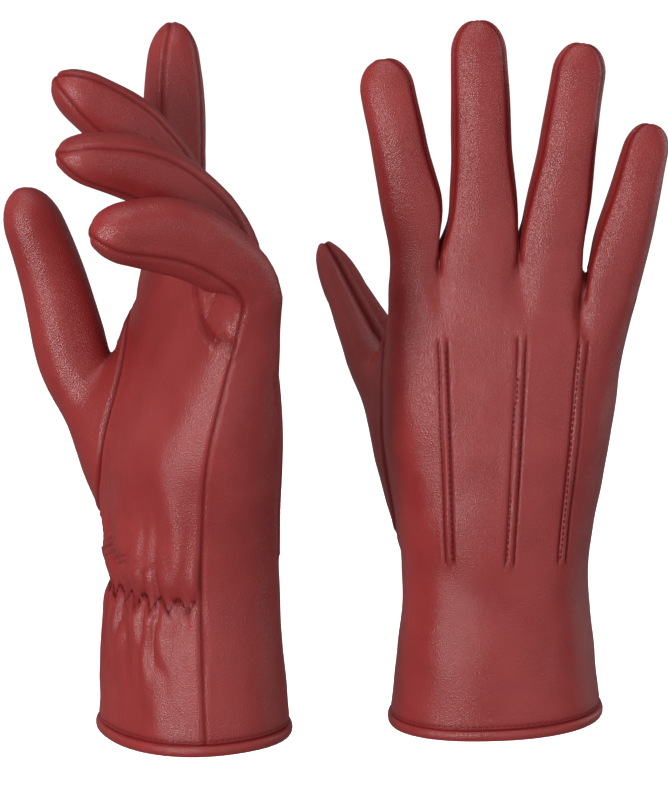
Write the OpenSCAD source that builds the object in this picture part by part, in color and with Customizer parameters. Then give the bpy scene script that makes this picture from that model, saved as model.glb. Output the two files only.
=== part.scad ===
// Pair of lined leather driving gloves. The right glove stands in its own frame: the middle
// of its wrist opening is the origin, the fingers point up (+Z), the palm faces +Y and the
// thumb is on the -X side. The left glove is its mirror image, turned and set beside it.

/* [Hand] */
// Height of the narrowest part of the wrist above the lowest point of the hem
wrist_height = 51; // [44:1:58]
// Height of the thickest part of the thumb mound
mound_height = 98; // [92:1:104]
// Height of the knuckle joints of the index, middle and ring fingers
knuckle_height = 163; // [156:1:180]
// How much lower the little finger's knuckle joint lies
little_drop = 12; // [8:1:16]
// Width across the wrist opening
cuff_width = 71.5; // [58:0.5:84]
// Depth of the wrist opening, back to palm
cuff_depth = 58; // [46:1:70]
// Width across the wrist
wrist_width = 62.5; // [52:0.5:74]
// Depth of the wrist
wrist_depth = 53; // [44:1:64]
// Width across the palm
palm_width = 79; // [66:1:94]
// Depth at the thumb mound
mound_depth = 50; // [40:1:60]
// Depth just below the fingers
knuckle_depth = 24; // [21:1:30]
// How far the fingers are set towards the little-finger side
finger_shift = 4.5; // [0:0.5:8]
// How far the knuckles are set towards the back
knuckle_set_back = 6; // [2:0.5:9]
// How far the hem rises at the little-finger side
hem_rise = 4; // [0:0.5:10]

/* [Fingers] */
// Width of the index finger
index_width = 20; // [16:0.5:24]
// Width of the middle finger
middle_width = 20; // [16:0.5:24]
// Width of the ring finger
ring_width = 20.5; // [16:0.5:24]
// Width of the little finger
little_width = 18; // [14:0.5:22]
// Depth of a finger as a share of its width
finger_depth_share = 0.92; // [0.8:0.01:1]
// Length of the index finger beyond its knuckle joint
index_length = 62.5; // [52:0.5:76]
// Length of the middle finger beyond its knuckle joint
middle_length = 74; // [60:1:90]
// Length of the ring finger beyond its knuckle joint
ring_length = 67; // [54:1:82]
// Length of the little finger beyond its knuckle joint
little_length = 54; // [44:1:66]
// Space between neighbouring fingers at their knuckle joints
finger_gap = 1.2; // [0.8:0.1:3]
// Width of the thumb
thumb_width = 24; // [20:0.5:30]
// Length of the thumb beyond its joint
thumb_length = 60; // [50:1:74]

/* [Leather and lining] */
// Thickness of the leather
leather = 1; // [0.7:0.1:1.4]
// Thickness of the lining
lining = 0.9; // [0.6:0.1:1.3]
// Space between the leather and the lining, where the elastic lies
layer_gap = 1; // [0.8:0.1:1.4]
// Height of the binding round the hem
binding_height = 3.3; // [2:0.1:5]
// How far the binding stands proud of the leather
binding_proud = 0.6; // [0.2:0.1:1.2]
// Length of the raised points on the back
point_length = 73; // [50:1:76]
// Width of a raised point
point_width = 1.8; // [1:0.1:3]
// Height of a raised point
point_rise = 0.9; // [0.4:0.1:1.4]
// Width of the wrist elastic
elastic_width = 8; // [5:0.5:12]
// Zigzags in the wrist stitching
zigzags = 8; // [5:1:12]
// Height of the zigzag
zigzag_height = 5.5; // [3:0.5:8]
// Width of a row of stitches
thread_width = 0.5; // [0.4:0.1:1]

/* [Pose] */
// Turn of the left glove about the upright
left_turn = 117; // [100:1:135]
// Distance between the two wrist openings
glove_spacing = 100; // [96:0.5:130]
// How far the left glove is set forward of the right one
left_forward = 48; // [0:1:70]
// How far the left glove is set above the right one
left_lift = 11; // [0:0.5:20]
// Bend of the left index finger at its knuckle; less than 0 is backwards
left_index_bend = -6; // [-8:1:6]
// Bend of the left middle finger at its knuckle
left_middle_bend = 33; // [20:1:45]
// Bend of the left ring finger at its knuckle
left_ring_bend = 49; // [35:1:60]
// Bend of the left little finger at its knuckle
left_little_bend = 56; // [40:1:64]

/* [Hidden] */
PARTS = [
    "back_panel", "palm_panel", "thumb_gusset", "thumb_quirk", "knuckle_leather",
    "cuff_binding", "hand_lining", "wrist_elastic", "points", "topstitching", "zigzag_stitch",
    "index_back", "index_palm", "index_fourchettes", "index_lining",
    "middle_back", "middle_palm", "middle_fourchettes", "middle_lining",
    "ring_back", "ring_palm", "ring_fourchettes", "ring_lining",
    "little_back", "little_palm", "little_fourchettes", "little_lining",
    "thumb_leather", "thumb_lining"
];

leather_colour = [0.56, 0.2, 0.2];
inner_colour = [0.36, 0.12, 0.13];
thread_colour = [0.45, 0.14, 0.15];

// fingers are numbered index 0, middle 1, ring 2, little 3
INDEX = 0;
MIDDLE = 1;
RING = 2;
LITTLE = 3;
widths = [index_width, middle_width, ring_width, little_width];
lengths = [index_length, middle_length, ring_length, little_length];
tilts = [-11, -2.5, 7.5, 12];
half_band = 8;
finger_squareness = 2.6;
tip_share = 0.55;
finger_taper = 0.12;
// narrowest half width left at the very tip of a digit
tip_stub = 0.25;
// gap left where one layer lies on another
small = 0.1;
// gap between a folding band and the leather it meets
band_clearance = 0.3;
// rise of a row of stitches over its gap
thread_rise = 0.4;

// gap between the hand's panels and the folding bands
knuckle_clearance = 0.4;

// each finger's place across the hand, counted from the index side
knuckle_width = widths[0] + widths[1] + widths[2] + widths[3] + 3 * finger_gap;
function offset_to(i) = i == 0 ? widths[0] / 2
    : offset_to(i - 1) + (widths[i - 1] + widths[i]) / 2 + finger_gap;
function knuckle_z(i) = knuckle_height - (i == LITTLE ? little_drop : 0);
function knuckle(i) = [
    finger_shift - knuckle_width / 2 + offset_to(i), -knuckle_set_back, knuckle_z(i)
];
function hand_top(i) =
    knuckle_z(i) - half_band - widths[i] / 2 * abs(sin(tilts[i])) - knuckle_clearance;
hand_tops = [for (i = [0:3]) [knuckle(i)[0], hand_top(i)]];

// half sizes and middle of the hand's section at each height
crotch_height = mound_height + 20;
section_top = knuckle_height - 10;
palm_share = 0.4;
half_widths = [
    [0, cuff_width / 2], [wrist_height, wrist_width / 2],
    [mound_height, palm_width / 2 - 0.5], [crotch_height, palm_width / 2],
    [section_top, knuckle_width / 2]
];
half_depths = [
    [0, cuff_depth / 2], [wrist_height, wrist_depth / 2],
    [mound_height, mound_depth / 2], [crotch_height, mound_depth * palm_share],
    [section_top, knuckle_depth / 2]
];
middle_x = [[0, 0], [mound_height + 15, 0], [section_top, finger_shift]];
middle_y = [
    [0, 0], [mound_height, 0], [crotch_height, -2.5],
    [section_top, -knuckle_set_back]
];
hand_squareness = 2.3;

// the thumb opening lies between these heights, and reaches this far into the palm
opening_below_mound = 25;
opening_above_mound = 16;
opening_bottom = mound_height - opening_below_mound;
opening_top = mound_height + opening_above_mound;
opening_angle = 56;
opening_middle = (opening_bottom + opening_top) / 2;
opening_half = (opening_top - opening_bottom) / 2;
opening_steps = 6;

outseam = 340;
index_fold = 180;

// the wrist is gathered on the palm side, between these angles
gather_from = 210;
gather_to = 330;
elastic_overhang = 8;

thumb_half_band = 6;
thumb_curl = 8;
thumb_root = [-palm_width / 2 + 0.5, mound_depth * 0.48, mound_height + 22];
right_thumb_aim = [-19, 33, 35.5];
left_thumb_aim = [-4.4, 5.7, 33];

right_bends = [0, 0, 0, 0];
right_curls = [4, 3, 3, 5];
left_bends = [left_index_bend, left_middle_bend, left_ring_bend, left_little_bend];
left_curls = [6, 20, 28, 22];

// columns of squares in each large sheet
back_columns = 20;
palm_columns = 16;
lining_columns = 30;

// offsets from the leather's outer face to each layer's two faces
leather_inside = -leather;
lining_outside = -leather - layer_gap;
lining_inside = lining_outside - lining;

/* ---- shells from grids of points ---- */

function joined(rows) = [for (row = rows) each row];
function two(a, b, c, d) = [[a, b, c], [a, c, d]];

// the faces of a strip of squares from one row of points to the next
function strip(from, to, n, closed) = [
    for (j = [0:n - (closed ? 1 : 2)])
        let (k = (j + 1) % n)
        each two(from + j, from + k, to + k, to + j)
];
function turned(faces) = [for (f = faces) [f[0], f[2], f[1]]];

// closed sheet between an outer and an inner grid of the same size
module sheet(outer, inner) {
    r = len(outer);
    c = len(outer[0]);
    n = r * c;
    last = n - c;
    faces = concat(
        [for (i = [0:r - 2]) each strip(i * c, (i + 1) * c, c, false)],
        turned([for (i = [0:r - 2]) each strip(n + i * c, n + (i + 1) * c, c, false)]),
        strip(n, 0, c, false),
        strip(last, n + last, c, false),
        [for (i = [0:r - 2]) each two(i * c, (i + 1) * c, n + (i + 1) * c, n + i * c)],
        [for (i = [1:r - 1])
            each two(n + i * c - 1, n + i * c + c - 1, i * c + c - 1, i * c - 1)]
    );
    polyhedron(points = concat(joined(outer), joined(inner)), faces = faces);
}

// closed tube between outer and inner rings; its far end is open, or capped by a dome
module tube(outer, inner, capped = false) {
    r = len(outer);
    c = len(outer[0]);
    n = r * c;
    last = n - c;
    cap = [for (j = [1:c - 2]) [last, last + j, last + j + 1]];
    inner_cap = [for (f = turned(cap)) [for (v = f) v + n]];
    faces = concat(
        [for (i = [0:r - 2]) each strip(i * c, (i + 1) * c, c, true)],
        turned([for (i = [0:r - 2]) each strip(n + i * c, n + (i + 1) * c, c, true)]),
        strip(n, 0, c, true),
        capped ? concat(cap, inner_cap) : strip(last, n + last, c, true)
    );
    polyhedron(points = concat(joined(outer), joined(inner)), faces = faces);
}

/* ---- the hand ---- */

function rounded(v, squareness) = sign(v) * pow(abs(v), 2 / squareness);

// point of a rounded outline; 0 is the little-finger side, 90 the back, 180 the index side
function outline(a, b, angle, squareness) =
    [a * rounded(cos(angle), squareness), -b * rounded(sin(angle), squareness)];

// point of the hand at a height, off the leather's outer face by an offset
function hand_point(angle, z, off) =
    let (half_width = lookup(z, half_widths) + off)
    let (half_depth = lookup(z, half_depths) + off)
    let (p = outline(half_width, half_depth, angle, hand_squareness))
    [p[0] + lookup(z, middle_x), p[1] + lookup(z, middle_y), z];

function hem_z(angle) = hem_rise * (1 + cos(angle)) / 2;
function top_z(angle) = lookup(hand_point(angle, section_top, 0)[0], hand_tops);

// heights of the rows of points between the binding and the knuckles
middle_rows = [
    wrist_height / 2, wrist_height - elastic_width, wrist_height, wrist_height + elastic_width,
    for (k = [0:opening_steps]) opening_middle - opening_half * cos(180 * k / opening_steps)
];
function row_z(k, angle, top_margin) =
    k == 0 ? hem_z(angle) + binding_height
    : k <= len(middle_rows) ? middle_rows[k - 1]
    : top_z(angle) - top_margin;
row_count = len(middle_rows) + 2;

// how far the thumb opening reaches into the palm at a height
function opening_reach(z) =
    let (t = (z - opening_middle) / opening_half)
    abs(t) >= 1 ? 0 : opening_angle * sqrt(1 - t * t);

function hand_grid(off, from, to, cols, top_margin = 0, opened = false) = [
    for (k = [0:row_count - 1]) [
        for (j = [0:cols])
            let (reach = opened ? opening_reach(row_z(k, from, top_margin)) : 0)
            let (angle = from + reach + (to - from - reach) * j / cols)
            hand_point(angle, row_z(k, angle, top_margin), off)
    ]
];

module back_panel() {
    color(leather_colour)
        sheet(
            hand_grid(0, outseam - 360, index_fold, back_columns),
            hand_grid(leather_inside, outseam - 360, index_fold, back_columns)
        );
}

module palm_panel() {
    color(leather_colour)
        sheet(
            hand_grid(0, index_fold, outseam, palm_columns, opened = true),
            hand_grid(leather_inside, index_fold, outseam, palm_columns, opened = true)
        );
}

module cuff_binding() {
    steps = 24;
    heights = [0, binding_height];
    color(leather_colour)
        tube(
            [for (h = heights) [for (j = [0:steps - 1])
                let (angle = 360 * j / steps)
                hand_point(angle, hem_z(angle) + h, binding_proud)]],
            [for (h = heights) [for (j = [0:steps - 1])
                let (angle = 360 * j / steps)
                hand_point(angle, hem_z(angle) + h, lining_inside - small)]]
        );
}

module wrist_elastic() {
    heights = [for (k = [-1:1]) wrist_height + k * elastic_width / 2];
    first = gather_from - elastic_overhang;
    last = gather_to + elastic_overhang;
    steps = 13;
    angles = [for (k = [0:steps]) first + (last - first) * k / steps];
    color(inner_colour)
        sheet(
            [for (z = heights) [for (a = angles) hand_point(a, z, leather_inside - small)]],
            [for (z = heights) [for (a = angles) hand_point(a, z, lining_outside + small)]]
        );
}

// the three raised points, fanned over the back
point_angles = [122, 88, 56];
point_fan = [0.1, 0, -0.1];
point_steps = 6;
point_bottom = wrist_height + 7;
function point_angle(i, z) = point_angles[i] + point_fan[i] * (z - mound_height);
function point_strip(i, side, half, off) = [
    for (k = [0:point_steps])
        let (z = point_bottom + point_length * k / point_steps)
        let (turn = 180 / PI / lookup(z, half_widths))
        [for (e = [-half, half]) hand_point(point_angle(i, z) + (side + e) * turn, z, off)]
];

module points() {
    color(leather_colour)
        for (i = [0:2])
            sheet(
                point_strip(i, 0, point_width / 2, point_rise),
                point_strip(i, 0, point_width / 2, small)
            );
}

module topstitching() {
    reach = point_width / 2 + thread_width;
    color(thread_colour)
        for (i = [0:2], side = [-reach, reach])
            sheet(
                point_strip(i, side, thread_width / 2, small + thread_rise),
                point_strip(i, side, thread_width / 2, small)
            );
}

module zigzag_stitch() {
    function zig(k, lift, off) =
        hand_point(
            gather_from + (gather_to - gather_from) * k / (2 * zigzags),
            wrist_height + (k % 2 == 0 ? -0.5 : 0.5) * zigzag_height + lift, off
        );
    lifts = [-thread_width, thread_width];
    color(thread_colour)
        sheet(
            [for (l = lifts) [for (k = [0:2 * zigzags]) zig(k, l, small + thread_rise)]],
            [for (l = lifts) [for (k = [0:2 * zigzags]) zig(k, l, small)]]
        );
}

/* ---- fingers and thumb ---- */

// a digit's frame: joint, direction when straight, direction that it bends towards, across
function digit(joint, aim, towards) =
    let (d = aim / norm(aim))
    let (n = towards - (towards * d) * d)
    let (palmward = n / norm(n))
    [joint, d, palmward, cross(palmward, d)];
function finger_frame(i) = digit(knuckle(i), [sin(tilts[i]), 0, cos(tilts[i])], [0, 1, 0]);
function thumb_frame(aim) = digit(thumb_root, aim, [1, 0, 0]);

function forward(f, bend) = f[1] * cos(bend) + f[2] * sin(bend);
function palmward(f, bend) = f[2] * cos(bend) - f[1] * sin(bend);

// the centre line runs straight, curls along an arc, and runs straight to the tip
curl_start = 0.3;
curl_end = 0.75;
function curl_at(s, len, curl) =
    curl * min(max((s / len - curl_start) / (curl_end - curl_start), 0), 1);
function centre(f, s, len, bend, curl) =
    let (s1 = curl_start * len)
    let (s2 = curl_end * len)
    let (radius = (s2 - s1) / (curl * PI / 180))
    let (a = curl_at(s, len, curl))
    f[0] + forward(f, bend) * min(s, s1)
        + radius * (sin(a) * forward(f, bend) + (1 - cos(a)) * palmward(f, bend))
        + max(s - s2, 0) * forward(f, bend + curl);

// point of a digit's leather at a distance from its joint, off the outer face by an offset
function digit_point(f, s, len, bend, curl, width, depth, angle, off) =
    let (tip = tip_share * width + off)
    let (past = max(s - (len + off - tip), 0) / tip)
    let (size = sqrt(max(1 - past * past, 0)))
    let (slim = 1 - finger_taper * s / len)
    let (p = outline(
        max((width / 2 * slim + off) * size, tip_stub),
        max((depth / 2 * slim + off) * size, tip_stub),
        angle, finger_squareness))
    centre(f, s, len, bend, curl) + f[3] * p[0] + palmward(f, bend + curl_at(s, len, curl)) * p[1];

// rows along a digit: even steps to the start of its tip, then closer round the dome
run_steps = 4;
dome_angles = [35, 60, 80, 89];
function digit_rows(start, len, width, off) =
    let (tip = tip_share * width + off)
    let (run = len + off - tip)
    concat(
        [for (k = [0:run_steps]) start + (run - start) * k / run_steps],
        [for (a = dome_angles) run + tip * sin(a)]
    );

function digit_grid(f, start, len, bend, curl, width, off, angles) = [
    for (s = digit_rows(start, len, width, off))
        [for (a = angles)
            digit_point(f, s, len, bend, curl, width, width * finger_depth_share, a, off)]
];

module digit_strip(f, start, len, bend, curl, width, angles) {
    sheet(
        digit_grid(f, start, len, bend, curl, width, 0, angles),
        digit_grid(f, start, len, bend, curl, width, leather_inside, angles)
    );
}

module digit_lining(f, start, len, bend, curl, width) {
    angles = [0:30:330];
    color(inner_colour)
        tube(
            digit_grid(f, start, len, bend, curl, width, lining_outside, angles),
            digit_grid(f, start, len, bend, curl, width, lining_inside, angles),
            capped = true
        );
}

// seams run along the corners of a finger; the index has none on its outer side
function back_angles(i) =
    i == INDEX ? [45, 67.5, 90, 112.5, 135, 157.5, 180]
    : i == LITTLE ? [-20, 0, 22.5, 45, 67.5, 90, 112.5, 135]
    : [45, 67.5, 90, 112.5, 135];
function palm_angles(i) =
    i == INDEX ? [180, 202.5, 225, 247.5, 270, 292.5, 315]
    : i == LITTLE ? [225, 247.5, 270, 292.5, 315, 340]
    : [225, 247.5, 270, 292.5, 315];

module finger_strip(i, bends, curls, angles) {
    color(leather_colour)
        digit_strip(finger_frame(i), half_band, lengths[i], bends[i], curls[i], widths[i], angles);
}

module finger_back(i, bends, curls) {
    finger_strip(i, bends, curls, back_angles(i));
}

module finger_palm(i, bends, curls) {
    finger_strip(i, bends, curls, palm_angles(i));
}

module fourchettes(i, bends, curls) {
    if (i != INDEX)
        finger_strip(i, bends, curls, [135, 157.5, 180, 202.5, 225]);
    if (i != LITTLE)
        finger_strip(i, bends, curls, [315, 337.5, 360, 382.5, 405]);
}

module finger_lining(i, bends, curls) {
    digit_lining(finger_frame(i), half_band, lengths[i], bends[i], curls[i], widths[i]);
}

module thumb_leather(aim) {
    angles = [0:22.5:337.5];
    f = thumb_frame(aim);
    function layer(off) =
        digit_grid(f, thumb_half_band, thumb_length, 0, thumb_curl, thumb_width, off, angles);
    color(leather_colour)
        tube(layer(0), layer(leather_inside), capped = true);
}

module thumb_lining(aim) {
    digit_lining(thumb_frame(aim), thumb_half_band, thumb_length, 0, thumb_curl, thumb_width);
}

// the leather that folds at a joint, from the hand to the digit
module band(f, half, len, bend, width) {
    run = half - band_clearance;
    depth = width * finger_depth_share;
    steps = 4;
    function ring(t, off) =
        let (s = run * (2 * t - 1))
        let (slim = 1 - finger_taper * max(s, 0) / len)
        [for (a = [0:30:330])
            let (p = outline(
                width / 2 * slim + off, depth / 2 * slim + off, a, finger_squareness))
            f[0] + forward(f, bend * t) * s + f[3] * p[0] + palmward(f, bend * t) * p[1]];
    tube(
        [for (k = [0:steps]) ring(k / steps, 0)],
        [for (k = [0:steps]) ring(k / steps, leather_inside)]
    );
}

module knuckle_leather(bends, aim) {
    color(leather_colour) {
        for (i = [0:3])
            band(finger_frame(i), half_band, lengths[i], bends[i], widths[i]);
        band(thumb_frame(aim), thumb_half_band, thumb_length, 0, thumb_width);
    }
}

// edge of the thumb's opening, a straight fold on one side and a curve into the palm
function opening_point(angle) =
    hand_point(
        index_fold + opening_reach(opening_middle + opening_half * cos(angle)) * (angle > 180 ? 1 : 0),
        opening_middle + opening_half * cos(angle), 0
    );

// ring where the gusset ends, just short of the thumb's joint
function gusset_end(f, angle, off) =
    let (p = outline(
        thumb_width / 2 + off, thumb_width * finger_depth_share / 2 + off, angle, finger_squareness))
    f[0] - f[1] * thumb_half_band + f[3] * p[0] + f[2] * p[1];

gusset_steps = 3;
gusset_angles = [for (k = [0:2 * opening_steps - 1]) 180 * k / opening_steps];
gusset_swell = [-12, 8, 0];
function gusset_face(f) = [
    for (i = [0:gusset_steps])
        let (t = i / gusset_steps)
        [for (a = gusset_angles)
            opening_point(a) * (1 - t) + gusset_end(f, a, 0) * t + gusset_swell * t * (1 - t)]
];

// longest reach of a mitred corner, as the least sum it is divided by
mitre_limit = 1.2;

// how far a grid of rings moves at one of its points for each millimetre of offset
function unit(v) = v / norm(v);
function offset_way(g, i, k) =
    let (n = len(g[i]))
    let (along = g[i + 1][k] - g[max(i - 1, 0)][k])
    let (before = unit(cross(along, g[i][k] - g[i][(k + n - 1) % n])))
    let (after = unit(cross(along, g[i][(k + 1) % n] - g[i][k])))
    (before + after) / max(1 + before * after, mitre_limit);

function gusset_grid(f, off) =
    let (g = gusset_face(f))
    concat(
        [for (i = [0:gusset_steps - 1])
            [for (k = [0:len(g[i]) - 1]) g[i][k] + offset_way(g, i, k) * off]],
        [[for (a = gusset_angles) gusset_end(f, a, off)]]
    );

module thumb_gusset(aim) {
    f = thumb_frame(aim);
    color(leather_colour)
        tube(gusset_grid(f, 0), gusset_grid(f, leather_inside));
}

// small diamond laid on above the thumb opening
quirk_angle = index_fold + 22;
quirk_point = 1;
quirk_spread = 8;
quirk_height = 6;
quirk_lift = 0.3;
quirk_thickness = 0.5;
module thumb_quirk() {
    shares = [0, 0.5, 1];
    bottom = opening_top + 1;
    function quirk_row(t, off) =
        let (half = quirk_point + quirk_spread * (1 - abs(2 * t - 1)))
        [for (e = [-1, 0, 1])
            hand_point(quirk_angle + e * half, bottom + quirk_height * t, off)];
    color(leather_colour)
        sheet(
            [for (t = shares) quirk_row(t, quirk_lift + quirk_thickness)],
            [for (t = shares) quirk_row(t, quirk_lift)]
        );
}

module hand_lining() {
    slit = 1;
    margin = 3;
    first = index_fold + slit;
    last = index_fold + 360 - slit;
    color(inner_colour)
        sheet(
            hand_grid(lining_outside, first, last, lining_columns, margin, opened = true),
            hand_grid(lining_inside, first, last, lining_columns, margin, opened = true)
        );
}

/* ---- one glove, and the pair ---- */

module glove_part(name, bends, curls, aim) {
    if (name == "back_panel") back_panel();
    if (name == "palm_panel") palm_panel();
    if (name == "thumb_gusset") thumb_gusset(aim);
    if (name == "thumb_quirk") thumb_quirk();
    if (name == "knuckle_leather") knuckle_leather(bends, aim);
    if (name == "cuff_binding") cuff_binding();
    if (name == "hand_lining") hand_lining();
    if (name == "wrist_elastic") wrist_elastic();
    if (name == "points") points();
    if (name == "topstitching") topstitching();
    if (name == "zigzag_stitch") zigzag_stitch();
    for (i = [0:3]) {
        finger = ["index", "middle", "ring", "little"][i];
        if (name == str(finger, "_back")) finger_back(i, bends, curls);
        if (name == str(finger, "_palm")) finger_palm(i, bends, curls);
        if (name == str(finger, "_fourchettes")) fourchettes(i, bends, curls);
        if (name == str(finger, "_lining")) finger_lining(i, bends, curls);
    }
    if (name == "thumb_leather") thumb_leather(aim);
    if (name == "thumb_lining") thumb_lining(aim);
}

module right_glove(name) {
    glove_part(name, right_bends, right_curls, right_thumb_aim);
}

module left_glove(name) {
    translate([-glove_spacing, -left_forward, left_lift])
        rotate([0, 0, left_turn])
            mirror([1, 0, 0])
                glove_part(name, left_bends, left_curls, left_thumb_aim);
}

for (name = PARTS) {
    right_glove(name);
    left_glove(name);
}
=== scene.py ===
import math

import bpy
import numpy as np
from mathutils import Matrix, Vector, kdtree, noise
from mathutils.bvhtree import BVHTree


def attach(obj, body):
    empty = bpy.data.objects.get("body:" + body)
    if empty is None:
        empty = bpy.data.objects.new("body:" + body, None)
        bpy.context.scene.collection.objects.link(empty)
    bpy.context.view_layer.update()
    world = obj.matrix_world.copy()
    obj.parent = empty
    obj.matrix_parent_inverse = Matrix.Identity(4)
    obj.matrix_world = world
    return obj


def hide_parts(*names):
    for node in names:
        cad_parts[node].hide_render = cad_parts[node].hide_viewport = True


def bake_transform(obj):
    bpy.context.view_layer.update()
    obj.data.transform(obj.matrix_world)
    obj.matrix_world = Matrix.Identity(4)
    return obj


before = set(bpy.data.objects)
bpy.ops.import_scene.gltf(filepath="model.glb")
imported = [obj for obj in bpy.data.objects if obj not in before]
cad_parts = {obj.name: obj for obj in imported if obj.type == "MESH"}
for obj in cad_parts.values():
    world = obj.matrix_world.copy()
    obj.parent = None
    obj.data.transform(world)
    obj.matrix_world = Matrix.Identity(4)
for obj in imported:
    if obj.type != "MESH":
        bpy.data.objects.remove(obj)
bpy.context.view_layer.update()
bpy.context.scene.view_settings.view_transform = "Standard"

# ------------ sizes, in mm
# the right glove stands in its own frame: fingers up, palm towards +Y, thumb on the -X side
SECTION_Z = [0, 25, 51, 70, 98, 118, 135, 150, 162]
X_LOW = [-35.9, -33.2, -31.5, -34.0, -37.6, -38.2, -37.5, -36.8, -36.2]
X_HIGH = [36.9, 33.5, 31.0, 32.8, 36.9, 39.8, 42.3, 45.5, 46.5]
Y_MIDDLE = [0, 0, 0, 0, -0.5, -2.5, -4.5, -6, -6.3]
Y_BACK = [-29, -27.3, -26.0, -25.8, -24.0, -21.4, -18.8, -17, -16.2]
Y_PALM = [29, 27.0, 25.6, 26.2, 24.5, 17.0, 11.0, 6.6, 5.0]
SQUARENESS = [2.2, 2.25, 2.2, 2.25, 2.35, 2.5, 2.7, 2.8, 2.8]

WIDTHS = [20, 20, 20.5, 18]
BASE_WIDTHS = [20.8, 22.0, 20.0, 19.2]
TIP_WIDTHS = [17.8, 18.4, 17.0, 15.0]
LENGTHS = [62.5, 74, 67, 54]
TILTS = [-11.8, -2.5, 8.4, 13.2]
FINGER_GAP = 1.2
KNUCKLE_Z = [163, 163, 163, 151]
KNUCKLE_SET_BACK = 6
FINGER_SHIFT = 4.5
THUMB_ROOT = np.array([-39, 24, 120.0])
THUMB_WIDTH = 24

HEM_RISE = 4
HEM_FADE = 40  # height at which the hem's slant has faded out
BINDING = 3.4
OUTSEAM = -20
LEFT_TURN = 117
LEFT_PLACE = np.array([-100, -48, 11.0])

# the three V's between the fingers: heights on the back, on the palm, and of the web
V_BACK_Z = [154.9, 156.6, 142.9]
V_PALM_Z = [157.0, 159.0, 147.0]
WEB_Z = [163.5, 167.0, 154.3]
# x of each V and of the raised point below it, by height
V_LINES = [([0, 62, 135, 155], [-17.2, -16.8, -19.4, -20.4]),
           ([0, 62, 135, 157], [2.4, 2.8, 6.4, 5.3]),
           ([0, 62, 135, 143], [21.2, 20.4, 26.2, 25.6])]
PALM_LINES = [[238, 236], [271, 270], [301, 302]]
POINT_LOW = 60.5
POINT_HIGH = 134.5

POSES = {
    "right": {"bends": [0, 0, 0, 0], "curls": [4, 3, 3, 5], "stretch": [1, 1, 1, 1],
              "depth": [0.92, 0.9, 0.95, 0.95], "thicken": [0, 0, 0, 0],
              "aim": (-19, 33, 35.5), "thumb_curl": 0, "thumb_out": 0,
              "thumb_length": 53, "thumb_taper": 0.34, "thumb_tip": 0.95},
    "left": {"bends": [-7.5, 33.5, 50.5, 58], "curls": [3, 22, 29, 29],
             "stretch": [1.02, 0.9, 0.955, 1.08],
             "depth": [0.98, 1.0, 1.02, 1.1], "thicken": [0.1, 0.12, 0.14, 0.38],
             "aim": (-4.4, 5.7, 33), "thumb_curl": 4, "thumb_out": 12,
             "thumb_length": 56, "thumb_taper": 0.2, "thumb_tip": 0.62},
}
FINGERS = ["index", "middle", "ring", "little"]


def smooth(x):
    x = np.clip(x, 0, 1)
    return x * x * (3 - 2 * x)


def unit(v):
    v = np.asarray(v, float)
    return v / np.maximum(np.linalg.norm(v, axis=-1, keepdims=True), 1e-9)


def curve_lookup(x, xs, ys):
    """Smooth curve through the points (xs, ys)."""
    xs, ys = np.asarray(xs, float), np.asarray(ys, float)
    slope = np.gradient(ys, xs)
    x = np.clip(np.asarray(x, float), xs[0], xs[-1])
    k = np.clip(np.searchsorted(xs, x, side="right") - 1, 0, len(xs) - 2)
    h = xs[k + 1] - xs[k]
    t = (x - xs[k]) / h
    return ((2 * t**3 - 3 * t**2 + 1) * ys[k] + (t**3 - 2 * t**2 + t) * h * slope[k]
            + (3 * t**2 - 2 * t**3) * ys[k + 1] + (t**3 - t**2) * h * slope[k + 1])


def bell(x, width):
    """1 at x = 0, falling to nothing a few widths away."""
    return np.exp(-(x / width) ** 2)


def rounded(v, squareness):
    return np.sign(v) * np.abs(v) ** (2 / squareness)


# ------------ the hand's surface
def hand(angle, z):
    """Point of the hand; angle 0 is the little finger's side, 90 the back, 180 the thumb's."""
    angle, z = np.broadcast_arrays(np.asarray(angle, float), np.asarray(z, float))
    low, high = curve_lookup(z, SECTION_Z, X_LOW), curve_lookup(z, SECTION_Z, X_HIGH)
    y0 = curve_lookup(z, SECTION_Z, Y_MIDDLE)
    back, palm = curve_lookup(z, SECTION_Z, Y_BACK), curve_lookup(z, SECTION_Z, Y_PALM)
    q = curve_lookup(z, SECTION_Z, SQUARENESS)
    c, s = np.cos(np.radians(angle)), np.sin(np.radians(angle))
    half = np.where(s >= 0, y0 - back, palm - y0)
    x = (low + high) / 2 + (high - low) / 2 * rounded(c, q)
    return np.stack([x, y0 - half * rounded(s, q), z], -1)


def back_angle(x, z):
    """Angle of the back's column that passes through x at a height."""
    low, high = curve_lookup(z, SECTION_Z, X_LOW), curve_lookup(z, SECTION_Z, X_HIGH)
    q = curve_lookup(z, SECTION_Z, SQUARENESS)
    share = np.clip((x - (low + high) / 2) / ((high - low) / 2), -1, 1)
    return np.degrees(np.arccos(np.sign(share) * np.abs(share) ** (q / 2)))


def hem_height(angle):
    return HEM_RISE * (1 + np.cos(np.radians(angle))) / 2


def lifted(angle, z):
    """Heights raised with the hem's slant, which fades out upwards."""
    return np.where(z < HEM_FADE, z + hem_height(angle) * (1 - z / HEM_FADE), z)


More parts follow.
